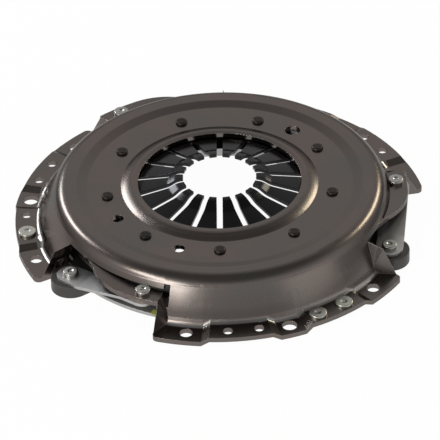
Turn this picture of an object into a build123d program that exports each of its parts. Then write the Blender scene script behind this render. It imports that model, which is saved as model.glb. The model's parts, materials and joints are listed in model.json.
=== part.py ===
from build123d import *
import os
from math import asin, atan2, cos, degrees, radians, sin, tan

# Diaphragm-spring clutch cover assembly, in millimetres and degrees.
# The origin is on the clutch axis in the plane where the bolt pads meet the flywheel.
# +Z points to the release bearing. Angles run counter-clockwise seen from +Z.

# Driving dimensions of the cover pressing, from its opening outwards
SHEET = 3.5
SEGMENTS = 3
SEGMENT_TURN = 360 / SEGMENTS
SEGMENT_MIDDLE = -70.0
SEGMENT_HALF = 39.0
OPENING_R = 57.5
BEAD_EDGE_W = 3.0
BEAD_TOP_W = 1.5
BEAD_SLOPE_W = 7.5
DECK_W = 24.0
STEP_W = 7.5
BAND_W = 13.0
LIP_W = 4.8
SKIRT_W = 14.2
FLANGE_W = 16.8
PAD_MARGIN = 1.5
PAD_RAISE = 2.5
DECK_Z = 32.0
BEAD_RISE = 2.9
OPENING_DROP = 0.4
BAND_RISE = 1.5
BEND_TIGHT = 1.5
BEND_SOFT = 2.5
BEND_FOOT = 4.5
BEND_SHOULDER = 7.5

# Angles along one flange segment, measured from its middle
PAD_ANGLE = 4.6
MIDDLE_PAD_ANGLE = 3.6
RAMP_ANGLE = 2.2
RAMP_INSET = 0.03
RAMP_START = 5.0
BALANCE_ANGLE = 9.0
PAD_CORNER = 4.0

# Holes in the flange, all on one circle a little outside the foot of the skirt
BOLT_OFFSET = 9.0
BOLT_HOLE = 9.0
DOWEL_HOLE = 10.5
BALANCE_HOLE = 7.0

# Strap tabs and the sloping walls at the ends of a segment. Shares are of the cut-out's angle.
TAB_W = 13.2
TAB_SLOT = 0.7
TAB_UNDER = 18.9
TAB_BEND_SHARE = 0.286
TAB_CURVE_SHARE = 0.488
TAB_CURVE_W = 9.8
TAB_NECK_SHARE = 0.643
TAB_NECK_W = 3.2
TAB_SLOT_SHARE = 0.679
TAB_TIP_SHARE = 0.929
TAB_ROOT_DEPTH = 2.5
TAB_UPTURN = 4.0
RELIEF_RISE = 3.5
RELIEF_DEPTH = 12.0
RELIEF_ANGLE = 2.2
RELIEF_MARGIN = 1.0
WALL_ANGLE = 3.4
WALL_TOP_INSET = 0.5
WALL_CORNER_INSET = 4.5
WALL_DROP = 8.0
WALL_INSET = 2.0

# Spacer rivets and fulcrum rings
SPACER_COUNT = 9
SPACER_OFFSET = 10.5
SPACER_START = -90.0
SPACER_BODY = 8.0
SPACER_NECK = 6.0
SPACER_HEAD = 8.4
SPACER_HEAD_H = 2.0
SPACER_HEAD_ROUND = 1.4
SPACER_FLANGE = 16.5
SPACER_FLANGE_H = 2.5
RING_WIRE = 4.0
RING_SPLIT_ANGLE = 1.5
RUN_CLEARANCE = 0.15
WINDOW_OFFSET = 1.6
WINDOW_HOLES = {50.4: 11.0, -150.6: 8.4, -110.2: 8.4}

# Diaphragm spring
SPRING_T = 2.5
SPRING_RIM_W = 17.85
SPRING_TIP_R = 25.7
SPRING_CONE = 11.6
FINGERS = 18
SLOT_W = 4.0
SLOT_EYE = 10.6
SLOT_EYE_LENGTH = 7.0
FINGER_LAND_W = 4.5
FINGER_CRANK_W = 6.8
FINGER_CRANK = 29.5

# Cast pressure plate
PLATE_FACE_Z = 0.4
PLATE_RIM_GAP = 6.9
PLATE_LAND = 2.0
PLATE_TOP_W = 9.5
PLATE_TOP_Z = 10.6
PLATE_BORE_INSET = 2.0
PLATE_STEP_GAP = 2.75
RIDGE_INSET = 2.99
RIDGE_W = 4.0
RIDGE_DRAFT = 1.6
RIDGE_ROOT = 2.0
SPRING_GAP = 0.25
LUG_R = 14.0
LUG_OFFSET = 7.2
LUG_UNDER = 0.5
LUG_DROP = 1.0
LUG_NECK_INSET = 4.8
LUG_FILLET = 9.0
LUG_WALL_FILLET = 3.5
LUG_WALL_GAP = 0.6
PLATE_LIFT = 2.5
LIFT_CLEARANCE = 6.05

# Drive straps and their rivets
STRAP_TAB_OFFSET = 5.6
STRAP_TAB_SHARE = 0.145
STRAP_W = 19.0
LEAVES = 3
LEAF_T = 0.68
LEAF_PITCH = 0.7
LEAF_FLAT = 13.0
LEAF_BEND = 12.0
STRAP_SHANK = 7.5
STRAP_HEAD = 10.8
STRAP_HEAD_H = 3.0
STRAP_CLOSED_H = 2.5
HOLE_CLEARANCE = 0.1

# Balance rivets
BALANCE_PLACES = ((0, 1), (0, 2), (2, 2))
BALANCE_HEAD = 12.5
BALANCE_HEAD_H = 2.0
BALANCE_CLOSED = 10.0
BALANCE_CLOSED_H = 1.4

# Radii and levels worked out from the driving dimensions
BEAD_INNER_R = OPENING_R + BEAD_EDGE_W
BEAD_OUTER_R = BEAD_INNER_R + BEAD_TOP_W
BEAD_FOOT_R = BEAD_OUTER_R + BEAD_SLOPE_W
STEP_INNER_R = BEAD_FOOT_R + DECK_W
STEP_OUTER_R = STEP_INNER_R + STEP_W
SHOULDER_R = STEP_OUTER_R + BAND_W
LIP_R = SHOULDER_R + LIP_W
SKIRT_FOOT_R = SHOULDER_R + SKIRT_W
SKIRT_SPLIT_R = SHOULDER_R + SKIRT_W / 2
FLANGE_R = SKIRT_FOOT_R + FLANGE_W
PAD_R = FLANGE_R + PAD_MARGIN
BOLT_R = SKIRT_FOOT_R + BOLT_OFFSET
TAB_R = LIP_R + TAB_W
RAISED_TOP = PAD_RAISE + SHEET
DECK_UNDER = DECK_Z - SHEET
BAND_Z = DECK_Z + BAND_RISE
SKIRT_FALL = (BAND_Z - RAISED_TOP) / SKIRT_W
SKIRT_SLOPE = degrees(atan2(SKIRT_FALL, 1))
LIP_Z = BAND_Z - SKIRT_FALL * LIP_W
PAD_FOOT_R = SKIRT_FOOT_R + PAD_RAISE / SKIRT_FALL
TAB_TOP_Z = TAB_UNDER + SHEET
SPACER_R = BEAD_FOOT_R + SPACER_OFFSET
CONE_RISE = tan(radians(SPRING_CONE))
CONE_SLANT = 1 / cos(radians(SPRING_CONE))
RING_R = SPACER_R + (SPACER_BODY + RING_WIRE) / 2 + RUN_CLEARANCE
SPRING_R = RING_R + SPRING_RIM_W
FINGER_LAND_R = SPRING_TIP_R + FINGER_LAND_W
FINGER_BEND_R = FINGER_LAND_R + FINGER_CRANK_W
UPPER_RING_Z = DECK_UNDER - RING_WIRE / 2
SPRING_TOP_AT_RING = UPPER_RING_Z - RING_WIRE / 2 * CONE_SLANT
LOWER_RING_Z = SPRING_TOP_AT_RING - (SPRING_T + RING_WIRE / 2) * CONE_SLANT
SPACER_FLANGE_Z = LOWER_RING_Z - RING_WIRE / 2
SPACER_UNDER_Z = SPACER_FLANGE_Z - SPACER_FLANGE_H
RIDGE_R = SPRING_R - RIDGE_INSET
PLATE_R = SKIRT_FOOT_R - PLATE_RIM_GAP
PLATE_TOP_R = RIDGE_R + PLATE_TOP_W
PLATE_BORE_R = SPACER_R - PLATE_BORE_INSET
PLATE_STEP_R = SPACER_R + SPACER_FLANGE / 2 + PLATE_STEP_GAP
PLATE_STEP_Z = SPACER_UNDER_Z - PLATE_LIFT - LIFT_CLEARANCE
LUG_NECK_R = PLATE_R - LUG_NECK_INSET
LUG_TOP_Z = PLATE_TOP_Z - LUG_DROP
LUG_UNDER_Z = PLATE_FACE_Z + LUG_UNDER
STRAP_STACK = LEAVES * LEAF_PITCH
STRAP_TAB_R = LIP_R + STRAP_TAB_OFFSET
STRAP_LUG_R = PLATE_R + LUG_OFFSET
CUT_OUT = SEGMENT_TURN - 2 * SEGMENT_HALF
CUT_OUT_END = SEGMENT_MIDDLE - SEGMENT_HALF - CUT_OUT
STRAP_TAB_ANGLE = SEGMENT_MIDDLE - SEGMENT_HALF - STRAP_TAB_SHARE * CUT_OUT
STRAP_LUG_ANGLE = CUT_OUT_END + degrees(asin((LUG_R + LUG_WALL_GAP) / LUG_NECK_R))
BOLT_ANGLE = SEGMENT_TURN / 4
PAD_INNER_ANGLE = BOLT_ANGLE - PAD_ANGLE
WALL_FOOT_ANGLE = SEGMENT_HALF - WALL_ANGLE
STANDING = (Align.CENTER, Align.CENTER, Align.MIN)
HANGING = (Align.CENTER, Align.CENTER, Align.MAX)


def polar(radius, angle, z=0.0):
    return Vector(radius * cos(radians(angle)), radius * sin(radians(angle)), z)


def turned(shape, angle):
    return Rot(0, 0, angle) * shape


def disc(diameter, bottom, top):
    return Pos(0, 0, bottom) * Cylinder(diameter / 2, top - bottom, align=STANDING)


def spring_top(radius):
    return SPRING_TOP_AT_RING + (RING_R - radius) * CONE_RISE


# Sheet profiles
def parallel(points, distance):
    """The polyline shifted to its right by a distance, with mitred corners."""
    shifted = []
    last = len(points) - 1
    for i, point in enumerate(points):
        before = Vector(*points[max(i, 1)]) - Vector(*points[max(i, 1) - 1])
        after = Vector(*points[min(i, last - 1) + 1]) - Vector(*points[min(i, last - 1)])
        n1 = Vector(before.Y, -before.X).normalized()
        n2 = Vector(after.Y, -after.X).normalized()
        mitre = (n1 + n2) * (distance / (1 + n1.dot(n2)))
        shifted.append((point[0] + mitre.X, point[1] + mitre.Y))
    return shifted


def sheet_face(points, bends, thickness):
    """A bent sheet in the radius-height plane. The points lie on its upper side, from the axis outwards."""
    under = parallel(points, thickness)
    face = make_face(Polyline(*points, *reversed(under), close=True))
    for i, bend in enumerate(bends, start=1):
        before = Vector(*points[i]) - Vector(*points[i - 1])
        after = Vector(*points[i + 1]) - Vector(*points[i])
        turns_up = before.X * after.Y - before.Y * after.X > 0
        corners = (points[i], under[i]) if turns_up else (under[i], points[i])
        for corner, radius in zip(corners, (bend, bend + thickness)):
            nearest = face.vertices().sort_by_distance(Vector(*corner))[0]
            face = fillet(nearest, radius)
    return Plane.XZ * face


def swept(face, start, end):
    return turned(revolve(face, Axis.Z, end - start), start)


# Cover pressing
def crown_face(end_r):
    points = [
        (OPENING_R, DECK_Z + BEAD_RISE - OPENING_DROP),
        (BEAD_INNER_R, DECK_Z + BEAD_RISE),
        (BEAD_OUTER_R, DECK_Z + BEAD_RISE),
        (BEAD_FOOT_R, DECK_Z),
        (STEP_INNER_R, DECK_Z),
        (STEP_OUTER_R, BAND_Z),
        (SHOULDER_R, BAND_Z),
        (end_r, skirt_z(end_r)),
    ]
    bends = [BEND_TIGHT, BEND_TIGHT, BEND_SOFT, BEND_SOFT, BEND_TIGHT, BEND_SHOULDER]
    return sheet_face(points, bends, SHEET)


def skirt_z(radius):
    return BAND_Z - SKIRT_FALL * (radius - SHOULDER_R)


def pad_face(start_r, inset=0.0):
    return flange_face(start_r, PAD_FOOT_R, PAD_R, SHEET, inset)


def raised_face(start_r, inset=0.0):
    return flange_face(start_r, SKIRT_FOOT_R, FLANGE_R, RAISED_TOP, inset)


def flange_face(start_r, foot_r, edge_r, top, inset):
    points = parallel([(start_r, skirt_z(start_r)), (foot_r, top), (edge_r, top)], inset)
    return sheet_face(points, [BEND_FOOT], SHEET - 2 * inset)


def flange_segment():
    """A third of the shell, with the middle of its flange at angle zero and a cut-out after it."""
    half = [
        (MIDDLE_PAD_ANGLE, pad_face),
        (MIDDLE_PAD_ANGLE + RAMP_ANGLE, raised_face),
        (PAD_INNER_ANGLE - RAMP_ANGLE, raised_face),
        (PAD_INNER_ANGLE, pad_face),
        (SEGMENT_HALF, pad_face),
    ]
    stations = [(-angle, profile) for angle, profile in reversed(half)] + half
    pieces = [
        swept(crown_face(SKIRT_SPLIT_R), -SEGMENT_HALF, SEGMENT_HALF),
        swept(crown_face(LIP_R), SEGMENT_HALF, SEGMENT_TURN - SEGMENT_HALF),
    ]
    for (start, profile), (end, next_profile) in zip(stations, stations[1:]):
        if profile is next_profile:
            piece = swept(profile(SKIRT_SPLIT_R), start, end)
        else:
            ramp_r = SHOULDER_R + RAMP_START
            ends = ((start, profile), (end, next_profile))
            piece = loft([turned(face(ramp_r, RAMP_INSET), angle) for angle, face in ends], ruled=True)
        for side in (-SEGMENT_HALF, SEGMENT_HALF):
            if side in (start, end):
                corners = piece.edges().filter_by(Axis.Z)
                piece = fillet(corners.sort_by_distance(polar(PAD_R, side))[0], PAD_CORNER)
        pieces.append(piece)
    return pieces


def end_wall(side):
    """The sloping wall that rises from an end pad to the lip. Its free edge lies in one radial plane."""
    edge = side * SEGMENT_HALF
    foot = polar(PAD_FOOT_R - SHEET, side * WALL_FOOT_ANGLE, SHEET)
    lip = polar(LIP_R - SHEET, edge, LIP_Z)
    top = polar(TAB_R - WALL_TOP_INSET, edge, TAB_TOP_Z - SHEET / 4)
    corner = polar(PAD_R - WALL_CORNER_INSET, edge, SHEET)
    depth = polar(-WALL_INSET, edge, -WALL_DROP)
    upper = extrude(make_face(Polyline(foot, lip, top, close=True)), dir=depth, amount=depth.length)
    lower = extrude(make_face(Polyline(foot, top, corner, close=True)), dir=depth, amount=depth.length)
    return [upper, lower]


def arc_between(start, radius, end):
    """An arc about the clutch axis."""
    return ThreePointArc(start, (start + end).normalized() * radius, end)


def strap_tab():
    """The level tongue that carries a strap. It leaves the wall at the clockwise end of the segment."""
    inner_r = LIP_R + TAB_SLOT
    root = -SEGMENT_HALF
    root_r = LIP_R - TAB_ROOT_DEPTH
    bend_angle = root - TAB_BEND_SHARE * CUT_OUT
    bend = polar(TAB_R, bend_angle)
    curve = polar(LIP_R + TAB_CURVE_W, root - TAB_CURVE_SHARE * CUT_OUT)
    neck = polar(LIP_R + TAB_NECK_W, root - TAB_NECK_SHARE * CUT_OUT)
    tip = polar(root_r, root - TAB_TIP_SHARE * CUT_OUT)
    outline = [
        Line(polar(root_r, root), polar(TAB_R, root)),
        arc_between(polar(TAB_R, root), TAB_R, bend),
        ThreePointArc(bend, curve, neck),
        Line(neck, tip),
        arc_between(tip, root_r, polar(root_r, root)),
    ]
    tab = Pos(0, 0, TAB_UNDER) * extrude(make_face(outline), 3 * SHEET)
    slot = Rectangle(TAB_SLOT + SHEET, 6 * SHEET)
    slot = Plane.XZ * Pos(inner_r - (TAB_SLOT + SHEET) / 2, TAB_UNDER) * slot
    tab -= swept(slot, root - TAB_SLOT_SHARE * CUT_OUT, root)
    along = polar(1, bend_angle)
    away = polar(1, bend_angle - 90)
    fold = Plane((0, 0, TAB_UNDER), x_dir=along, z_dir=away)
    level = slab(split(tab, bisect_by=fold, keep=Keep.BOTTOM), along, Vector(0, 0, 1))
    tilted = Vector(0, 0, cos(radians(TAB_UPTURN))) - away * sin(radians(TAB_UPTURN))
    sloped = slab(split(tab, bisect_by=fold, keep=Keep.TOP), along, tilted)
    return [level, sloped]


def slab(block, along, up):
    """What is left of a block between the two faces of the tab's sheet, level or sloped."""
    block = split(block, bisect_by=Plane((0, 0, TAB_TOP_Z), x_dir=along, z_dir=up), keep=Keep.BOTTOM)
    return split(block, bisect_by=Plane((0, 0, TAB_UNDER), x_dir=along, z_dir=up), keep=Keep.TOP)


def tab_relief():
    """The cut that runs from the tab's slot down between the end of the skirt and the wall."""
    length = RELIEF_RISE + RELIEF_DEPTH
    depth = SHEET + 2 * RELIEF_MARGIN
    cut = Pos(-RELIEF_RISE, RELIEF_MARGIN) * Rectangle(length, depth, align=(Align.MIN, Align.MAX))
    cut = Plane.XZ * Pos(LIP_R, LIP_Z) * Rot(0, 0, -SKIRT_SLOPE) * cut
    return swept(cut, -SEGMENT_HALF, RELIEF_ANGLE - SEGMENT_HALF)


def flange_holes():
    sizes = {0: DOWEL_HOLE, BOLT_ANGLE: BOLT_HOLE}
    sizes |= {BALANCE_ANGLE: BALANCE_HOLE, 2 * BALANCE_ANGLE: BALANCE_HOLE}
    holes = []
    for angle, diameter in sizes.items():
        for side in {-angle, angle}:
            holes.append(Pos(polar(BOLT_R, side)) * disc(diameter, -1, RAISED_TOP + 1))
    return holes


def space_inside():
    """The cone-shaped space under the skirt."""
    wall = SHEET / sin(atan2(SKIRT_FALL, 1))
    skirt_r = SKIRT_FOOT_R + RAISED_TOP / SKIRT_FALL - wall
    return Cone(skirt_r, skirt_r - DECK_Z / SKIRT_FALL, DECK_Z, align=STANDING)


def cover():
    segment = flange_segment()
    inside = space_inside()
    floor = disc(3 * PAD_R, -2 * WALL_DROP, 0)
    walls = [piece - inside - floor for side in (-1, 1) for piece in end_wall(side)]
    segment = segment[0].fuse(*segment[1:], *walls, *strap_tab())
    segment -= flange_holes() + [tab_relief()]
    tab_hole = Pos(polar(STRAP_TAB_R, STRAP_TAB_ANGLE - SEGMENT_MIDDLE))
    segment -= tab_hole * disc(STRAP_SHANK + 2 * HOLE_CLEARANCE, TAB_UNDER - 1, TAB_TOP_Z + 1)
    segments = [turned(segment, SEGMENT_MIDDLE + k * SEGMENT_TURN) for k in range(SEGMENTS)]
    shell = segments[0].fuse(*segments[1:])
    deck_holes = [(SPACER_R, angle, SPACER_NECK) for angle in spacer_angles()]
    deck_holes += [(SPACER_R + WINDOW_OFFSET, angle, size) for angle, size in WINDOW_HOLES.items()]
    for radius, angle, diameter in deck_holes:
        shell -= Pos(polar(radius, angle)) * disc(diameter, DECK_UNDER - 1, DECK_Z + 1)
    return shell


# Spring, fulcrum rings and spacer rivets
def spacer_angles():
    return [SPACER_START + k * 360 / SPACER_COUNT for k in range(SPACER_COUNT)]


def diaphragm_spring():
    land_z = spring_top(FINGER_BEND_R) + (FINGER_BEND_R - FINGER_LAND_R) * tan(radians(FINGER_CRANK))
    points = [
        (SPRING_TIP_R, land_z),
        (FINGER_LAND_R, land_z),
        (FINGER_BEND_R, spring_top(FINGER_BEND_R)),
        (SPRING_R, spring_top(SPRING_R)),
    ]
    spring = revolve(sheet_face(points, [BEND_SOFT, BEND_SOFT], SPRING_T), Axis.Z)
    height = land_z + 1
    cuts = []
    for k in range(FINGERS):
        angle = SPACER_START + k * 360 / FINGERS
        slot = Pos(SPACER_R / 2, 0, height / 2) * Box(SPACER_R, SLOT_W, height)
        eye = Pos(SPACER_R - SLOT_EYE_LENGTH / 2, 0) * SlotCenterToCenter(SLOT_EYE_LENGTH, SLOT_EYE)
        eye = extrude(eye, height)
        cuts += [turned(slot, angle), turned(eye, angle)]
    return spring - cuts


def fulcrum_ring(z):
    section = Plane.XZ * Pos(RING_R, z) * Circle(RING_WIRE / 2)
    return swept(section, RING_SPLIT_ANGLE / 2, 360 - RING_SPLIT_ANGLE / 2)


def dimpled_head(diameter, bottom, top):
    head = disc(diameter, bottom, top)
    height = top - bottom
    head = fillet(head.edges().group_by(Axis.Z)[-1], height / 3)
    dimple = Cone(diameter / 12, diameter / 5, height / 5, align=HANGING)
    return head - Pos(0, 0, top) * dimple


def spacer_rivet():
    rivet = disc(SPACER_FLANGE, SPACER_UNDER_Z, SPACER_FLANGE_Z)
    rivet += disc(SPACER_BODY, SPACER_FLANGE_Z, DECK_UNDER)
    rivet += disc(SPACER_NECK, DECK_UNDER, DECK_Z)
    head = disc(SPACER_HEAD, DECK_Z, DECK_Z + SPACER_HEAD_H)
    return rivet + fillet(head.edges().group_by(Axis.Z)[-1], SPACER_HEAD_ROUND)


# Pressure plate
def pressure_plate():
    seat_z = spring_top(RIDGE_R) - (SPRING_T + SPRING_GAP + RIDGE_W / 2) * CONE_SLANT
    ridge_top = seat_z + RIDGE_W / 2
    half = RIDGE_W / 2
    base = half + RIDGE_DRAFT
    points = [
        (PLATE_BORE_R, PLATE_FACE_Z),
        (PLATE_R, PLATE_FACE_Z),
        (PLATE_R, PLATE_FACE_Z + PLATE_LAND),
        (PLATE_TOP_R, PLATE_TOP_Z),
        (RIDGE_R + base, PLATE_TOP_Z),
        (RIDGE_R + half, ridge_top),
        (RIDGE_R - half, ridge_top),
        (RIDGE_R - base, PLATE_TOP_Z),
        (PLATE_STEP_R, PLATE_TOP_Z),
        (PLATE_STEP_R, PLATE_STEP_Z),
        (PLATE_BORE_R, PLATE_STEP_Z),
    ]
    face = make_face(Polyline(*points, close=True))
    roundings = {4: RIDGE_ROOT, 5: 0.9 * half, 6: 0.9 * half, 7: RIDGE_ROOT}
    for corner, radius in roundings.items():
        face = fillet(face.vertices().sort_by_distance(Vector(*points[corner]))[0], radius)
    plate = revolve(Plane.XZ * face, Axis.Z)
    lugs = [turned(plate_lug(), STRAP_LUG_ANGLE + k * SEGMENT_TURN) for k in range(SEGMENTS)]
    return plate.fuse(*lugs)


def plate_lug():
    """One lug with its middle on the X axis, blended into the rim, and bored for its strap rivet."""
    eye = Pos(STRAP_LUG_R, 0) * Circle(LUG_R)
    neck = Pos(STRAP_LUG_R - LUG_R, 0) * Rectangle(2 * LUG_R, 2 * LUG_R)
    outline = Circle(LUG_NECK_R) + neck + eye
    root_x = (LUG_NECK_R**2 - LUG_R**2) ** 0.5
    for side, radius in ((1, LUG_FILLET), (-1, LUG_WALL_FILLET)):
        root = outline.vertices().sort_by_distance((root_x, side * LUG_R))[0]
        outline = fillet(root, radius)
    outline -= Circle(RIDGE_R + RIDGE_W)
    reach = 3 * LUG_R
    outline &= Pos(STRAP_LUG_R, 0) * Rectangle(2 * reach, 2 * reach)
    lug = Pos(0, 0, LUG_UNDER_Z) * extrude(outline, LUG_TOP_Z - LUG_UNDER_Z)
    bore = disc(STRAP_SHANK + 2 * HOLE_CLEARANCE, LUG_UNDER_Z - 1, LUG_TOP_Z + 1)
    sink = disc(STRAP_HEAD + 2, LUG_UNDER_Z - 1, LUG_UNDER_Z + STRAP_CLOSED_H)
    return lug - Pos(STRAP_LUG_R, 0, 0) * (bore + sink)


# Drive straps
def strap_ends(turn):
    tab = polar(STRAP_TAB_R, STRAP_TAB_ANGLE + turn)
    lug = polar(STRAP_LUG_R, STRAP_LUG_ANGLE + turn)
    return lug, tab


def strap_leaf(level, turn):
    """One leaf, lying flat on the lug and under the tab, with a slope between. Level 0 is the lowest."""
    lug, tab = strap_ends(turn)
    span = (tab - lug).length
    end = STRAP_W / 2
    low = LUG_TOP_Z + level * LEAF_PITCH + LEAF_T
    high = TAB_UNDER - STRAP_STACK + level * LEAF_PITCH + LEAF_T
    points = [(-end, low), (LEAF_FLAT, low), (span - LEAF_FLAT, high), (span + end, high)]
    side_view = sheet_face(points, [LEAF_BEND, LEAF_BEND], LEAF_T)
    leaf = Pos(0, end, 0) * extrude(side_view, STRAP_W)
    outline = Pos(span / 2, 0) * SlotCenterToCenter(span, STRAP_W)
    hole = Circle(STRAP_SHANK / 2 + HOLE_CLEARANCE)
    outline -= hole
    outline -= Pos(span, 0) * hole
    leaf &= extrude(outline, TAB_TOP_Z)
    along = tab - lug
    return Pos(lug) * turned(leaf, degrees(atan2(along.Y, along.X)))


def strap_cover_rivet():
    stack = TAB_UNDER - STRAP_STACK
    rivet = disc(STRAP_SHANK, stack, TAB_TOP_Z)
    rivet += disc(STRAP_HEAD, stack - STRAP_CLOSED_H, stack)
    return rivet + dimpled_head(STRAP_HEAD, TAB_TOP_Z, TAB_TOP_Z + STRAP_HEAD_H)


def strap_plate_rivet():
    stack = LUG_TOP_Z + STRAP_STACK
    seat = LUG_UNDER_Z + STRAP_CLOSED_H
    rivet = disc(STRAP_SHANK, seat, stack)
    rivet += disc(STRAP_HEAD, LUG_UNDER_Z, seat)
    return rivet + dimpled_head(STRAP_HEAD, stack, stack + STRAP_HEAD_H)


def balance_rivet():
    rivet = disc(BALANCE_HOLE - 2 * HOLE_CLEARANCE, PAD_RAISE, RAISED_TOP)
    rivet += disc(BALANCE_CLOSED, PAD_RAISE - BALANCE_CLOSED_H, PAD_RAISE)
    return rivet + dimpled_head(BALANCE_HEAD, RAISED_TOP, RAISED_TOP + BALANCE_HEAD_H)


# Assembly
def assembly():
    nodes = {
        "cover": cover(),
        "diaphragm_spring": diaphragm_spring(),
        "pressure_plate": pressure_plate(),
        "upper_fulcrum_ring": fulcrum_ring(UPPER_RING_Z),
        "lower_fulcrum_ring": fulcrum_ring(LOWER_RING_Z),
    }
    for k, angle in enumerate(spacer_angles(), start=1):
        nodes[f"spacer_rivet_{k}"] = Pos(polar(SPACER_R, angle)) * spacer_rivet()
    for k in range(SEGMENTS):
        turn = k * SEGMENT_TURN
        lug, tab = strap_ends(turn)
        nodes[f"strap_cover_rivet_{k + 1}"] = Pos(tab) * strap_cover_rivet()
        nodes[f"strap_plate_rivet_{k + 1}"] = Pos(lug) * strap_plate_rivet()
        for level in range(LEAVES):
            nodes[f"strap_{k + 1}_leaf_{level + 1}"] = strap_leaf(level, turn)
    for k, (segment, step) in enumerate(BALANCE_PLACES, start=1):
        angle = SEGMENT_MIDDLE + segment * SEGMENT_TURN + step * BALANCE_ANGLE
        nodes[f"balance_rivet_{k}"] = Pos(polar(BOLT_R, angle)) * balance_rivet()
    return nodes


os.makedirs("parts", exist_ok=True)
for name, shape in assembly().items():
    export_step(shape, f"parts/{name}.step")
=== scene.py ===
import json
from math import acos, asin, cos, hypot, pi, radians, sin, sqrt, tan

import bmesh
import bpy
from mathutils import Matrix, Quaternion, Vector


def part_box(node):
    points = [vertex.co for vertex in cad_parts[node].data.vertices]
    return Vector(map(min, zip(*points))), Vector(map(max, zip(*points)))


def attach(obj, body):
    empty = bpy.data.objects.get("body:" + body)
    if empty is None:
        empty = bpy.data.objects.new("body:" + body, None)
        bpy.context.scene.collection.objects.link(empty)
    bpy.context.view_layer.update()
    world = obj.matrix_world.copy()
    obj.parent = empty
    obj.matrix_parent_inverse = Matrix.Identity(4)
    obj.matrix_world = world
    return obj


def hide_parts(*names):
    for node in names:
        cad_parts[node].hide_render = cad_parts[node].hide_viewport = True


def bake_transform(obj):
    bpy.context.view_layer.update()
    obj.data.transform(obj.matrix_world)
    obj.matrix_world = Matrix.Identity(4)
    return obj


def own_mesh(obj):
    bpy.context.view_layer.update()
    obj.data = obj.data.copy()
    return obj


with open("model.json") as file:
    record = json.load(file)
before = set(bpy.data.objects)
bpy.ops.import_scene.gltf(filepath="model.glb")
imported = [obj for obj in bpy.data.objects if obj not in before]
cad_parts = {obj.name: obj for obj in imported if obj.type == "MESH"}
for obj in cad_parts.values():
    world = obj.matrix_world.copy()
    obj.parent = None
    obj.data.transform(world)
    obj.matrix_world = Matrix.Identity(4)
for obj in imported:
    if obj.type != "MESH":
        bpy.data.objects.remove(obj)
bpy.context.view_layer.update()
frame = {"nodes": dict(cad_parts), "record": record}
nodes = frame["nodes"]
record = frame["record"]

# Lengths are metres and angles degrees, but the camera's lens and sensor are millimetres.
# A noise scale is a number of cells in a metre. Limits are where a change begins and where it is complete.

# Camera, from the photograph's viewing angle
CAMERA_ELEVATION = 36.0
CAMERA_AZIMUTH = 0.952
CAMERA_ROLL = -1.727
CAMERA_DISTANCE = 3.102
CAMERA_AIM = (-0.0006, -0.0263, 0.0324)
CAMERA_REACH = 50.0
CAMERA_LENS = 361.3
CAMERA_SENSOR = 36.0

# Diaphragm spring
SPRING_THICKNESS = 0.0025
SPRING_CONE = 11.6
SPRING_CRANK = 29.5
SPRING_EDGE = 0.0003
SPRING_EDGE_STEPS = 2
SPRING_EDGE_ANGLE = 50.0
FINGER_COUNT = 18
FINGER_START = -80.0
FINGER_TIP_R = 0.0257
FINGER_LAND_R = 0.0302
FINGER_BEND_R = 0.037
FINGER_BEND = 0.012
SLOT_WIDTH = 0.004
EYE_RADIUS = 0.0053
EYE_INNER_R = 0.073
EYE_OUTER_R = 0.080

# Divisions of the spring's sheet
BEND_STEPS = 4
FINGER_COLUMNS = 10
FINGER_ROWS = 7
EYE_ROWS = 7
RIM_ROWS = 5

# Straps
STRAPS = 3
LEAVES = 3
LEAF_FLAT = 0.013
LEAF_STATIONS = 12
LEAF_SHARP_ANGLE = 30.0
LEAF_OLD_SHADING = ("custom_normal", "sharp_edge", "sharp_face")

# Meshes
SAME_POINT = 1e-6
CUT_TOLERANCE = 1e-7

# Stains, grain and drawn lines of the metals
STAIN_SCALE = 24.0
STAIN_DETAIL = 5.0
STAIN_ROUGHNESS = 0.62
STAIN_LIMITS = (0.36, 0.66)
STAIN_SHINE_SHARE = 0.65
GRAIN_DETAIL = 3.0
GRAIN_ROUGHNESS = 0.55
DRAWN_SCALE = 420.0
DRAWN_DETAIL = 3.0
DRAWN_SHINE_SHARE = 0.4
NOISE_LIMITS = (0.3, 0.7)

# Rounded edges of the metals, given a brighter colour: partly wear, partly a painted highlight along the
# edges
EDGE_RADIUS = 5e-4
EDGE_SAMPLES = 12
WEAR_AND_HIGHLIGHT_LIMITS = (0.92, 0.7)
WEAR_AND_HIGHLIGHT_REACH = 0.002
WEAR_AND_HIGHLIGHT_OPEN_LIMITS = (0.7, 0.95)
WEAR_AND_HIGHLIGHT_OPEN_SAMPLES = 6
FINISH_EDGE = 0.0004

# Cover's finish
BEAD_CREST_R = 0.062
BEAD_FOOT_R = 0.0695
BEAD_BACK = 3e-4
SKIRT_TOP_R = 0.1165
SKIRT_FOOT_R = 0.127
SKIRT_BOW = 4e-4
SKIRT_STEEP_LIMITS = (0.8, 0.6)
SHEET_WAVES = 4e-5
SHEET_WAVE_SCALE = 55.0
SHEET_WAVE_DETAIL = 1.0
# Painted highlight on the bend at the skirt's foot
FOOT_HIGHLIGHT_R = 0.1215
FOOT_HIGHLIGHT_END_R = 0.1325
FOOT_HIGHLIGHT_STEEP_LIMITS = (0.6, 0.8)
FOOT_HIGHLIGHT_LEVEL_LIMITS = (0.95, 0.99)
FOOT_HIGHLIGHT_PATCH_SCALE = 40.0
FOOT_HIGHLIGHT_PATCH_SHARES = (0.6, 1.0)
FOOT_HIGHLIGHT_COLOUR = (0.5, 0.48, 0.46)

# Pressure plate's finish
BORE_R = 0.0782
RIM_R = 0.1213
TURNED_COLOUR = (0.42, 0.41, 0.4)
PAINT_DAB = (-0.0459, -0.1123, 0.0046)
PAINT_RADIUS = 0.0042
PAINT_RAGGED = 0.003
PAINT_RAGGED_SCALE = 300.0
PAINT_COLOUR = (0.27, 0.27, 0.05)

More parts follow.
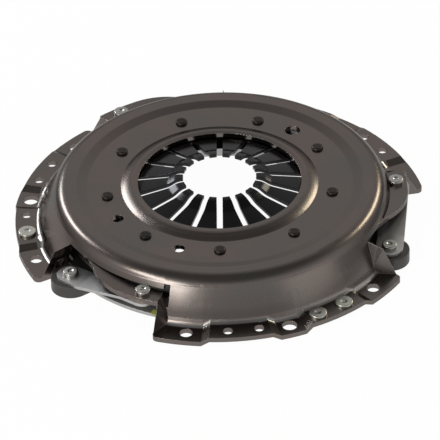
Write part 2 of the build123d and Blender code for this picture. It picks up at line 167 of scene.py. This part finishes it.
# Studio
FLOOR_SIZE = 12.0
FLOOR_PAPER = (0.85, 0.85, 0.85)
FLOOR_GLOW = 0.97
WHITE = (1.0, 1.0, 1.0)
SKY_HORIZON = 0.2
SKY_MIDDLE = 0.9
SKY_OVERHEAD = 0.22
SKY_SIDES = 0.4
SKY_RISE_LIMITS = (0.02, 0.32)
SKY_FALL_LIMITS = (0.62, 0.9)
SKY_ASIDE_LIMITS = (0.12, 0.4)
SKY_BEHIND_LIMITS = (0.0, 0.3)
LAMP_DISTANCE = 1.4


class Graph:
    """A material's or world's node tree, filled from its sources towards its output."""

    def __init__(self, owner):
        owner.use_nodes = True
        self.tree = owner.node_tree
        self.tree.nodes.clear()

    def add(self, kind, inputs=None, **settings):
        made = self.tree.nodes.new(kind)
        for key, value in settings.items():
            setattr(made, key, value)
        for key, value in (inputs or {}).items():
            if isinstance(value, bpy.types.NodeSocket):
                self.tree.links.new(value, made.inputs[key])
            else:
                made.inputs[key].default_value = value
        return made

    def noise(self, place, scale, detail=4.0, roughness=0.6):
        inputs = {"Vector": place, "Scale": scale, "Detail": detail, "Roughness": roughness}
        return self.add("ShaderNodeTexNoise", inputs).outputs["Fac"]

    def ranged(self, value, low, high, to_low=0.0, to_high=1.0):
        inputs = {"Value": value, "From Min": low, "From Max": high, "To Min": to_low, "To Max": to_high}
        return self.add("ShaderNodeMapRange", inputs).outputs["Result"]

    def math(self, operation, a, b, c=0.0):
        return self.add("ShaderNodeMath", {0: a, 1: b, 2: c}, operation=operation).outputs[0]

    def product(self, a, b):
        return self.math("MULTIPLY", a, b)

    def total(self, a, b):
        return self.math("ADD", a, b)

    def shared(self, share, a, b):
        """A share of the first value and the rest of the second."""
        return self.total(self.product(a, share), self.product(b, 1.0 - share))

    def mixed(self, factor, a, b):
        return self.add("ShaderNodeMix", {0: factor, 6: a, 7: b}, data_type="RGBA").outputs[2]

    def vector_math(self, operation, a, b, output):
        return self.add("ShaderNodeVectorMath", {0: a, 1: b}, operation=operation).outputs[output]

    def radius(self, place):
        flat = self.vector_math("MULTIPLY", place, (1.0, 1.0, 0.0), "Vector")
        return self.add("ShaderNodeVectorMath", {0: flat}, operation="LENGTH").outputs["Value"]

    def normal(self):
        return self.add("ShaderNodeNewGeometry").outputs["Normal"]

    def upward(self):
        return self.add("ShaderNodeSeparateXYZ", {0: self.normal()}).outputs["Z"]


def rgba(colour):
    return (*colour, 1.0)


# Materials
def metal(
    name, colour, stain, wear_and_highlight, rough, grain, depth,
    drawn=0.0, form=None, finish=None, edge=EDGE_RADIUS, rim=1.0,
):
    """A metal with stains, a fine grain, lines drawn round the axis, and rounded edges made bright, partly
    as wear and partly as a painted highlight.

    rough holds the least and most roughness, grain and depth are the grain's scale and height, and drawn is
    the strength of the lines. form adds heights, finish changes the colour, edge is the radius of the edges,
    and rim is the strength of the reflections at a grazing angle.
    """
    material = bpy.data.materials.new(name)
    graph = Graph(material)
    place = graph.add("ShaderNodeTexCoord").outputs["Object"]
    blotch = graph.noise(place, STAIN_SCALE, STAIN_DETAIL, STAIN_ROUGHNESS)
    speck = graph.noise(place, grain, GRAIN_DETAIL, GRAIN_ROUGHNESS)
    base = graph.mixed(graph.ranged(blotch, *STAIN_LIMITS), rgba(colour), rgba(stain))
    shine = graph.shared(STAIN_SHINE_SHARE, blotch, speck)
    height = graph.product(speck, depth)
    if drawn:
        lines = drawn_lines(graph, place)
        shade = graph.ranged(lines, *NOISE_LIMITS, 1.0 - drawn, 1.0 + drawn)
        base = graph.vector_math("MULTIPLY", base, shade, "Vector")
        shine = graph.shared(DRAWN_SHINE_SHARE, lines, shine)
        height = graph.total(height, graph.product(lines, depth))
    if form:
        height = graph.total(height, form(graph, place))
    if finish:
        base = finish(graph, place, base)
    rounded_edge = graph.add("ShaderNodeBevel", {"Radius": edge}, samples=EDGE_SAMPLES).outputs["Normal"]
    bump = graph.add(
        "ShaderNodeBump",
        {"Strength": 1.0, "Distance": 1.0, "Height": height, "Normal": rounded_edge},
    )
    shader = graph.add(
        "ShaderNodeBsdfPrincipled",
        {
            # Rounded edges take a brighter colour: partly wear, partly a painted highlight on the edges.
            "Base Color": graph.mixed(edge_wear_and_highlight(graph, rounded_edge), base, rgba(wear_and_highlight)),
            "Metallic": 1.0,
            "Roughness": graph.ranged(shine, *NOISE_LIMITS, *rough),
            "Specular Tint": (rim, rim, rim, 1.0),
            "Normal": bump.outputs["Normal"],
        },
    )
    graph.add("ShaderNodeOutputMaterial", {"Surface": shader.outputs["BSDF"]})
    return material


def drawn_lines(graph, place):
    """Fine rings round the axis."""
    inputs = {"W": graph.radius(place), "Scale": DRAWN_SCALE, "Detail": DRAWN_DETAIL}
    return graph.add("ShaderNodeTexNoise", inputs, noise_dimensions="1D").outputs["Fac"]


def edge_wear_and_highlight(graph, rounded_edge):
    """Wear, and a painted highlight, where an edge is rounded and stands in the open."""
    facing = graph.vector_math("DOT_PRODUCT", graph.normal(), rounded_edge, "Value")
    air = graph.add("ShaderNodeAmbientOcclusion", {"Distance": WEAR_AND_HIGHLIGHT_REACH}, samples=WEAR_AND_HIGHLIGHT_OPEN_SAMPLES)
    in_open = graph.ranged(air.outputs["AO"], *WEAR_AND_HIGHLIGHT_OPEN_LIMITS)
    return graph.product(graph.ranged(facing, *WEAR_AND_HIGHLIGHT_LIMITS), in_open)


def pressed_form(graph, place):
    """The bead's rounded back, the skirt's slight bow and the faint waves of pressed sheet, as heights."""
    radius = graph.radius(place)
    across = graph.ranged(radius, BEAD_CREST_R, BEAD_FOOT_R, -1.0, 1.0)
    back = graph.product(graph.product(across, across), -BEAD_BACK)
    down = graph.ranged(radius, SKIRT_TOP_R, SKIRT_FOOT_R, -1.0, 1.0)
    steep = graph.ranged(graph.upward(), *SKIRT_STEEP_LIMITS, 0.0, -SKIRT_BOW)
    bow = graph.product(graph.product(down, down), steep)
    waves = graph.product(graph.noise(place, SHEET_WAVE_SCALE, SHEET_WAVE_DETAIL), SHEET_WAVES)
    return graph.total(graph.total(back, bow), waves)


def painted_foot_highlight(graph, place, base):
    """A painted highlight, in patches, on the bend at the skirt's foot."""
    radius = graph.radius(place)
    outside = graph.ranged(radius, FOOT_HIGHLIGHT_R - FINISH_EDGE, FOOT_HIGHLIGHT_R)
    inside = graph.ranged(radius, FOOT_HIGHLIGHT_END_R, FOOT_HIGHLIGHT_END_R + FINISH_EDGE, 1.0, 0.0)
    upward = graph.upward()
    off_skirt = graph.ranged(upward, *FOOT_HIGHLIGHT_STEEP_LIMITS)
    off_level = graph.ranged(upward, *FOOT_HIGHLIGHT_LEVEL_LIMITS, 1.0, 0.0)
    foot = graph.product(graph.product(outside, inside), graph.product(off_skirt, off_level))
    patches = graph.noise(place, FOOT_HIGHLIGHT_PATCH_SCALE, detail=0.0)
    patchy = graph.ranged(patches, *NOISE_LIMITS, *FOOT_HIGHLIGHT_PATCH_SHARES)
    # Painted highlight: a brighter colour in patches on the foot's bend.
    return graph.mixed(graph.product(foot, patchy), base, rgba(FOOT_HIGHLIGHT_COLOUR))


def turned_faces(graph, place, base):
    """Machined metal on the plate's bore and rim, and a dab of paint on the rim."""
    radius = graph.radius(place)
    bore = graph.ranged(radius, BORE_R, BORE_R + FINISH_EDGE, 1.0, 0.0)
    rim = graph.math("COMPARE", radius, RIM_R, FINISH_EDGE)
    base = graph.mixed(graph.math("MAXIMUM", bore, rim), base, rgba(TURNED_COLOUR))
    away = graph.vector_math("DISTANCE", place, PAINT_DAB, "Value")
    ragged = graph.total(away, graph.product(graph.noise(place, PAINT_RAGGED_SCALE), PAINT_RAGGED))
    dab = graph.ranged(ragged, PAINT_RADIUS, PAINT_RADIUS + FINISH_EDGE, 1.0, 0.0)
    return graph.mixed(dab, base, rgba(PAINT_COLOUR))


def cover_steel():
    # The finish paints a highlight on the bend at the skirt's foot.
    return metal(
        "cover_steel", colour=(0.162, 0.132, 0.121), stain=(0.143, 0.131, 0.121), wear_and_highlight=(0.45, 0.43, 0.4),
        rough=(0.2, 0.3), grain=900.0, depth=3e-6, drawn=0.012,
        form=pressed_form, finish=painted_foot_highlight, edge=2.5e-4, rim=0.6,
    )


def spring_steel():
    return metal(
        "spring_steel", colour=(0.034, 0.0335, 0.036), stain=(0.027, 0.0265, 0.028), wear_and_highlight=(0.08, 0.08, 0.08),
        rough=(0.17, 0.27), grain=1200.0, depth=6e-6,
    )


def cast_iron():
    return metal(
        "cast_iron", colour=(0.1, 0.095, 0.09), stain=(0.072, 0.068, 0.064), wear_and_highlight=(0.2, 0.19, 0.18),
        rough=(0.4, 0.6), grain=420.0, depth=4e-5, finish=turned_faces,
    )


def ring_wire():
    return metal(
        "ring_wire", colour=(0.3, 0.3, 0.31), stain=(0.22, 0.21, 0.2), wear_and_highlight=(0.35, 0.35, 0.35),
        rough=(0.25, 0.4), grain=900.0, depth=4e-6,
    )


def black_rivet():
    return metal(
        "black_rivet", colour=(0.05, 0.043, 0.039), stain=(0.032, 0.028, 0.025), wear_and_highlight=(0.1, 0.095, 0.09),
        rough=(0.3, 0.46), grain=900.0, depth=8e-6,
    )


def strap_steel():
    return metal(
        "strap_steel", colour=(0.5, 0.49, 0.485), stain=(0.42, 0.41, 0.405), wear_and_highlight=(0.55, 0.55, 0.55),
        rough=(0.34, 0.46), grain=900.0, depth=4e-6, edge=2e-4,
    )


def strap_rivet():
    return metal(
        "strap_rivet", colour=(0.42, 0.41, 0.385), stain=(0.32, 0.31, 0.29), wear_and_highlight=(0.6, 0.58, 0.55),
        rough=(0.2, 0.36), grain=700.0, depth=3e-6,
    )


def zinc_rivet():
    return metal(
        "zinc_rivet", colour=(0.58, 0.58, 0.525), stain=(0.46, 0.455, 0.41), wear_and_highlight=(0.75, 0.75, 0.7),
        rough=(0.18, 0.34), grain=700.0, depth=3e-6,
    )


def make_materials():
    """One material for each material slot of the part."""
    return {
        "cover_steel": cover_steel(),
        "spring_steel": spring_steel(),
        "cast_iron": cast_iron(),
        "ring_wire": ring_wire(),
        "black_rivet": black_rivet(),
        "strap_steel": strap_steel(),
        "strap_rivet": strap_rivet(),
        "zinc_rivet": zinc_rivet(),
    }


# Pieces
def finished_piece(name, mesh_data, material):
    """A smooth object in the scene, made from mesh data that is then freed."""
    mesh = bpy.data.meshes.new(name)
    mesh_data.to_mesh(mesh)
    mesh_data.free()
    mesh.materials.append(material)
    mesh.shade_smooth()
    piece = bpy.data.objects.new(name, mesh)
    bpy.context.scene.collection.objects.link(piece)
    return piece


def centre(node):
    low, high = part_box(node)
    return (low + high) / 2


# Diaphragm spring
def parallel(points, distance):
    """A polyline shifted to its right by a distance, with mitred corners."""
    shifted = []
    last = len(points) - 1
    for i, point in enumerate(points):
        before = points[max(i, 1)] - points[max(i, 1) - 1]
        after = points[min(i, last - 1) + 1] - points[min(i, last - 1)]
        right_before = Vector((before.y, -before.x)).normalized()
        right_after = Vector((after.y, -after.x)).normalized()
        mitre = distance / (1 + right_before.dot(right_after))
        shifted.append(point + (right_before + right_after) * mitre)
    return shifted


def rounded(points, radius):
    """A polyline with its inner corners rounded by quadratic arcs."""
    made = [points[0]]
    for before, corner, after in zip(points, points[1:], points[2:]):
        turn = (corner - before).angle(after - corner)
        reach = radius * tan(turn / 2)
        start = corner + (before - corner).normalized() * reach
        end = corner + (after - corner).normalized() * reach
        for i in range(BEND_STEPS + 1):
            t = i / BEND_STEPS
            made.append(start * (1 - t) ** 2 + corner * 2 * t * (1 - t) + end * t * t)
    return made + [points[-1]]


def spring_profile():
    """Radius and height along the middle of the spring's thickness, from tip to rim."""
    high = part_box("diaphragm_spring")[1]
    rim_r = high.x
    bend_z = high.z - (FINGER_BEND_R - FINGER_LAND_R) * tan(radians(SPRING_CRANK))
    rim_z = bend_z - (rim_r - FINGER_BEND_R) * tan(radians(SPRING_CONE))
    top = [
        Vector((FINGER_TIP_R, high.z)),
        Vector((FINGER_LAND_R, high.z)),
        Vector((FINGER_BEND_R, bend_z)),
        Vector((rim_r, rim_z)),
    ]
    return rounded(parallel(top, SPRING_THICKNESS / 2), FINGER_BEND)


def height_at(profile, radius):
    """The profile's height at a radius."""
    for a, b in zip(profile, profile[1:]):
        if radius <= b.x or b is profile[-1]:
            return a.y + (b.y - a.y) * (radius - a.x) / (b.x - a.x)


def half_gap(radius):
    """Half the angle of a slot, or of the long eye at its end, at a radius."""
    mouth_r = hypot(EYE_INNER_R - sqrt(EYE_RADIUS**2 - (SLOT_WIDTH / 2) ** 2), SLOT_WIDTH / 2)
    if radius <= mouth_r:
        return asin(SLOT_WIDTH / 2 / radius)
    if radius >= EYE_OUTER_R + EYE_RADIUS:
        return 0.0
    if hypot(EYE_INNER_R, EYE_RADIUS) <= radius <= hypot(EYE_OUTER_R, EYE_RADIUS):
        return asin(EYE_RADIUS / radius)
    centre_r = EYE_INNER_R if radius < EYE_OUTER_R else EYE_OUTER_R
    share = (radius**2 + centre_r**2 - EYE_RADIUS**2) / (2 * centre_r * radius)
    return acos(min(1.0, share))


def steps_between(start, end, count):
    """The values that divide a span into equal parts, without its ends."""
    return [start + (end - start) * i / count for i in range(1, count)]


def spring_rows(profile):
    """Radii of the sheet's rows, closer together where the eyes turn."""
    rim_r = profile[-1].x
    turns = [pi / 2 * i / EYE_ROWS for i in range(1, EYE_ROWS + 1)]
    rows = [point.x for point in profile[:-1]]
    rows += steps_between(FINGER_BEND_R, EYE_INNER_R - EYE_RADIUS, FINGER_ROWS)
    rows += [hypot(EYE_INNER_R - EYE_RADIUS * cos(turn), EYE_RADIUS * sin(turn)) for turn in turns]
    rows += [hypot(EYE_OUTER_R + EYE_RADIUS * sin(turn), EYE_RADIUS * cos(turn)) for turn in turns]
    rows += [hypot(EYE_OUTER_R, EYE_RADIUS)]
    rows += steps_between(EYE_OUTER_R + EYE_RADIUS, rim_r, RIM_ROWS)
    return sorted(rows) + [rim_r]


def spring_sheet(profile):
    """The middle of the spring's thickness, finger by finger."""
    rows = spring_rows(profile)
    half_pitch = pi / FINGER_COUNT
    sheet = bmesh.new()
    for finger in range(FINGER_COUNT):
        middle = radians(FINGER_START) + 2 * half_pitch * finger
        grid = []
        for radius in rows:
            half = half_pitch - half_gap(radius)
            height = height_at(profile, radius)
            angles = [middle + half * (2 * j / FINGER_COLUMNS - 1) for j in range(FINGER_COLUMNS + 1)]
            grid.append([sheet.verts.new((radius * cos(a), radius * sin(a), height)) for a in angles])
        for inner, outer in zip(grid, grid[1:]):
            for j in range(FINGER_COLUMNS):
                sheet.faces.new((inner[j], outer[j], outer[j + 1], inner[j + 1]))
    bmesh.ops.remove_doubles(sheet, verts=sheet.verts, dist=SAME_POINT)
    return sheet


def thicken(spring):
    """The sheet's thickness and its rounded edges."""
    solid = spring.modifiers.new("thickness", "SOLIDIFY")
    solid.thickness = SPRING_THICKNESS
    solid.offset = 0.0
    solid.use_even_offset = True
    edge = spring.modifiers.new("edges", "BEVEL")
    edge.width = SPRING_EDGE
    edge.segments = SPRING_EDGE_STEPS
    edge.limit_method = "ANGLE"
    edge.angle_limit = radians(SPRING_EDGE_ANGLE)
    edge.harden_normals = True


def diaphragm_spring(material):
    """The spring as a thickened sheet, carried with the cover."""
    profile = spring_profile()
    spring = finished_piece("diaphragm_spring_sheet", spring_sheet(profile), material)
    thicken(spring)
    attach(spring, "cover")
    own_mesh(spring)
    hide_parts("diaphragm_spring")


# Straps
def strap_leaf(strap, leaf, material):
    """A leaf with the node's own form, cut across at several stations."""
    node = f"strap_{strap}_leaf_{leaf}"
    lug = centre(f"strap_plate_rivet_{strap}")
    tab = centre(f"strap_cover_rivet_{strap}")
    along = Vector((tab.x - lug.x, tab.y - lug.y, 0.0)).normalized()
    start = Vector((lug.x, lug.y, 0.0)) + along * LEAF_FLAT
    end = Vector((tab.x, tab.y, 0.0)) - along * LEAF_FLAT
    blade = bmesh.new()
    blade.from_mesh(nodes[node].data)
    bmesh.ops.remove_doubles(blade, verts=blade.verts, dist=SAME_POINT)
    for i in range(LEAF_STATIONS + 1):
        station = start + (end - start) * (i / LEAF_STATIONS)
        whole = blade.verts[:] + blade.edges[:] + blade.faces[:]
        bmesh.ops.bisect_plane(blade, geom=whole, plane_co=station, plane_no=along, dist=CUT_TOLERANCE)
    piece = finished_piece(f"{node}_blade", blade, material)
    for name in LEAF_OLD_SHADING:
        if name in piece.data.attributes:
            piece.data.attributes.remove(piece.data.attributes[name])
    piece.data.set_sharp_from_angle(angle=radians(LEAF_SHARP_ANGLE))
    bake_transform(piece)
    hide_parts(node)


# Studio
def floor_paper():
    """White paper that looks evenly lit, takes a faint shadow and is clear from below."""
    material = bpy.data.materials.new("studio_floor")
    graph = Graph(material)
    path = graph.add("ShaderNodeLightPath").outputs
    seen = graph.math("MAXIMUM", path["Is Camera Ray"], path["Is Glossy Ray"])
    seen = graph.math("MAXIMUM", seen, path["Is Transmission Ray"])
    paper = graph.add("ShaderNodeBsdfDiffuse", {"Color": rgba(FLOOR_PAPER)}).outputs[0]
    glow = graph.add("ShaderNodeEmission", {"Color": rgba(WHITE), "Strength": 1.0}).outputs[0]
    share = graph.product(seen, FLOOR_GLOW)
    front = graph.add("ShaderNodeMixShader", {0: share, 1: paper, 2: glow}).outputs[0]
    clear = graph.add("ShaderNodeBsdfTransparent").outputs[0]
    backfacing = graph.add("ShaderNodeNewGeometry").outputs["Backfacing"]
    both = graph.add("ShaderNodeMixShader", {0: backfacing, 1: front, 2: clear}).outputs[0]
    graph.add("ShaderNodeOutputMaterial", {"Surface": both})
    return material


def floor():
    mesh = bmesh.new()
    bmesh.ops.create_grid(mesh, x_segments=1, y_segments=1, size=FLOOR_SIZE / 2)
    ground = finished_piece("studio_floor", mesh, floor_paper())


def sky():
    """A plain grey room, lightest between the horizon and overhead, and darker at the sides behind."""
    world = bpy.data.worlds.new("studio")
    bpy.context.scene.world = world
    graph = Graph(world)
    direction = graph.add("ShaderNodeTexCoord").outputs["Generated"]
    across, ahead, height = graph.add("ShaderNodeSeparateXYZ", {0: direction}).outputs
    rise = graph.ranged(height, *SKY_RISE_LIMITS, SKY_HORIZON, SKY_MIDDLE)
    fall = graph.ranged(height, *SKY_FALL_LIMITS, SKY_MIDDLE, SKY_OVERHEAD)
    aside = graph.ranged(graph.math("ABSOLUTE", across, 0.0), *SKY_ASIDE_LIMITS, 0.0, SKY_SIDES)
    behind = graph.ranged(ahead, *SKY_BEHIND_LIMITS)
    share = graph.math("SUBTRACT", 1.0, graph.product(aside, behind))
    strength = graph.product(graph.math("MINIMUM", rise, fall), share)
    background = graph.add("ShaderNodeBackground", {"Strength": strength}).outputs[0]
    graph.add("ShaderNodeOutputWorld", {"Surface": background})


def softbox(name, azimuth, elevation, turn, size, power, colour):
    """A rectangular lamp that faces the origin, turned about its own axis."""
    lamp = bpy.data.lights.new(name, "AREA")
    lamp.shape = "RECTANGLE"
    lamp.size, lamp.size_y = size
    lamp.energy = power
    lamp.color = colour
    box = bpy.data.objects.new(name, lamp)
    bpy.context.scene.collection.objects.link(box)
    around = radians(azimuth)
    level = cos(radians(elevation))
    towards = Vector((cos(around) * level, sin(around) * level, sin(radians(elevation))))
    turned = towards.to_track_quat("Z", "Y") @ Quaternion((0, 0, 1), radians(turn))
    box.location = towards * LAMP_DISTANCE
    box.rotation_euler = turned.to_euler()


def lamps():
    softbox(
        "left_softbox", azimuth=134.0, elevation=33.0, turn=-38.0,
        size=(0.22, 0.75), power=6.4, colour=(0.95, 0.98, 1.0),
    )
    softbox(
        "right_softbox", azimuth=45.0, elevation=33.0, turn=38.0,
        size=(0.2, 0.6), power=3.8, colour=(1.0, 0.93, 0.71),
    )
    softbox(
        "front_softbox", azimuth=230.0, elevation=34.0, turn=-36.0,
        size=(1.1, 0.3), power=9.0, colour=(0.99, 1.0, 0.97),
    )
    softbox(
        "fill_softbox", azimuth=325.0, elevation=15.0, turn=0.0,
        size=(0.8, 0.45), power=0.8, colour=(1.0, 0.95, 0.92),
    )


def camera():
    """A camera aimed at a height on the axis, with a shift across and up in the picture."""
    elevation = radians(CAMERA_ELEVATION)
    azimuth = radians(CAMERA_AZIMUTH)
    roll = radians(CAMERA_ROLL)
    back = Vector((sin(azimuth) * cos(elevation), -cos(azimuth) * cos(elevation), sin(elevation)))
    right = Vector((cos(azimuth), sin(azimuth), 0.0))
    up = back.cross(right)
    across, upright, height = CAMERA_AIM
    aim = right * across + up * upright + Vector((0.0, 0.0, height))
    x_axis = right * cos(roll) + up * sin(roll)
    y_axis = up * cos(roll) - right * sin(roll)
    turned = Matrix((x_axis, y_axis, back)).transposed()
    lens = bpy.data.cameras.new("camera")
    lens.lens = CAMERA_LENS
    lens.sensor_width = CAMERA_SENSOR
    lens.clip_end = CAMERA_REACH
    eye = bpy.data.objects.new("camera", lens)
    eye.matrix_world = Matrix.LocRotScale(aim + back * CAMERA_DISTANCE, turned, None)
    bpy.context.scene.collection.objects.link(eye)
    bpy.context.scene.camera = eye


# The part
materials = make_materials()
for part in record["subparts"]:
    mesh = nodes[part["node"]].data
    mesh.materials.clear()
    mesh.materials.append(materials[part["material_slot"]])
diaphragm_spring(materials["spring_steel"])
for strap in range(1, STRAPS + 1):
    for leaf in range(1, LEAVES + 1):
        strap_leaf(strap, leaf, materials["strap_steel"])

floor()
sky()
lamps()
camera()
bpy.context.scene.view_settings.view_transform = "Standard"
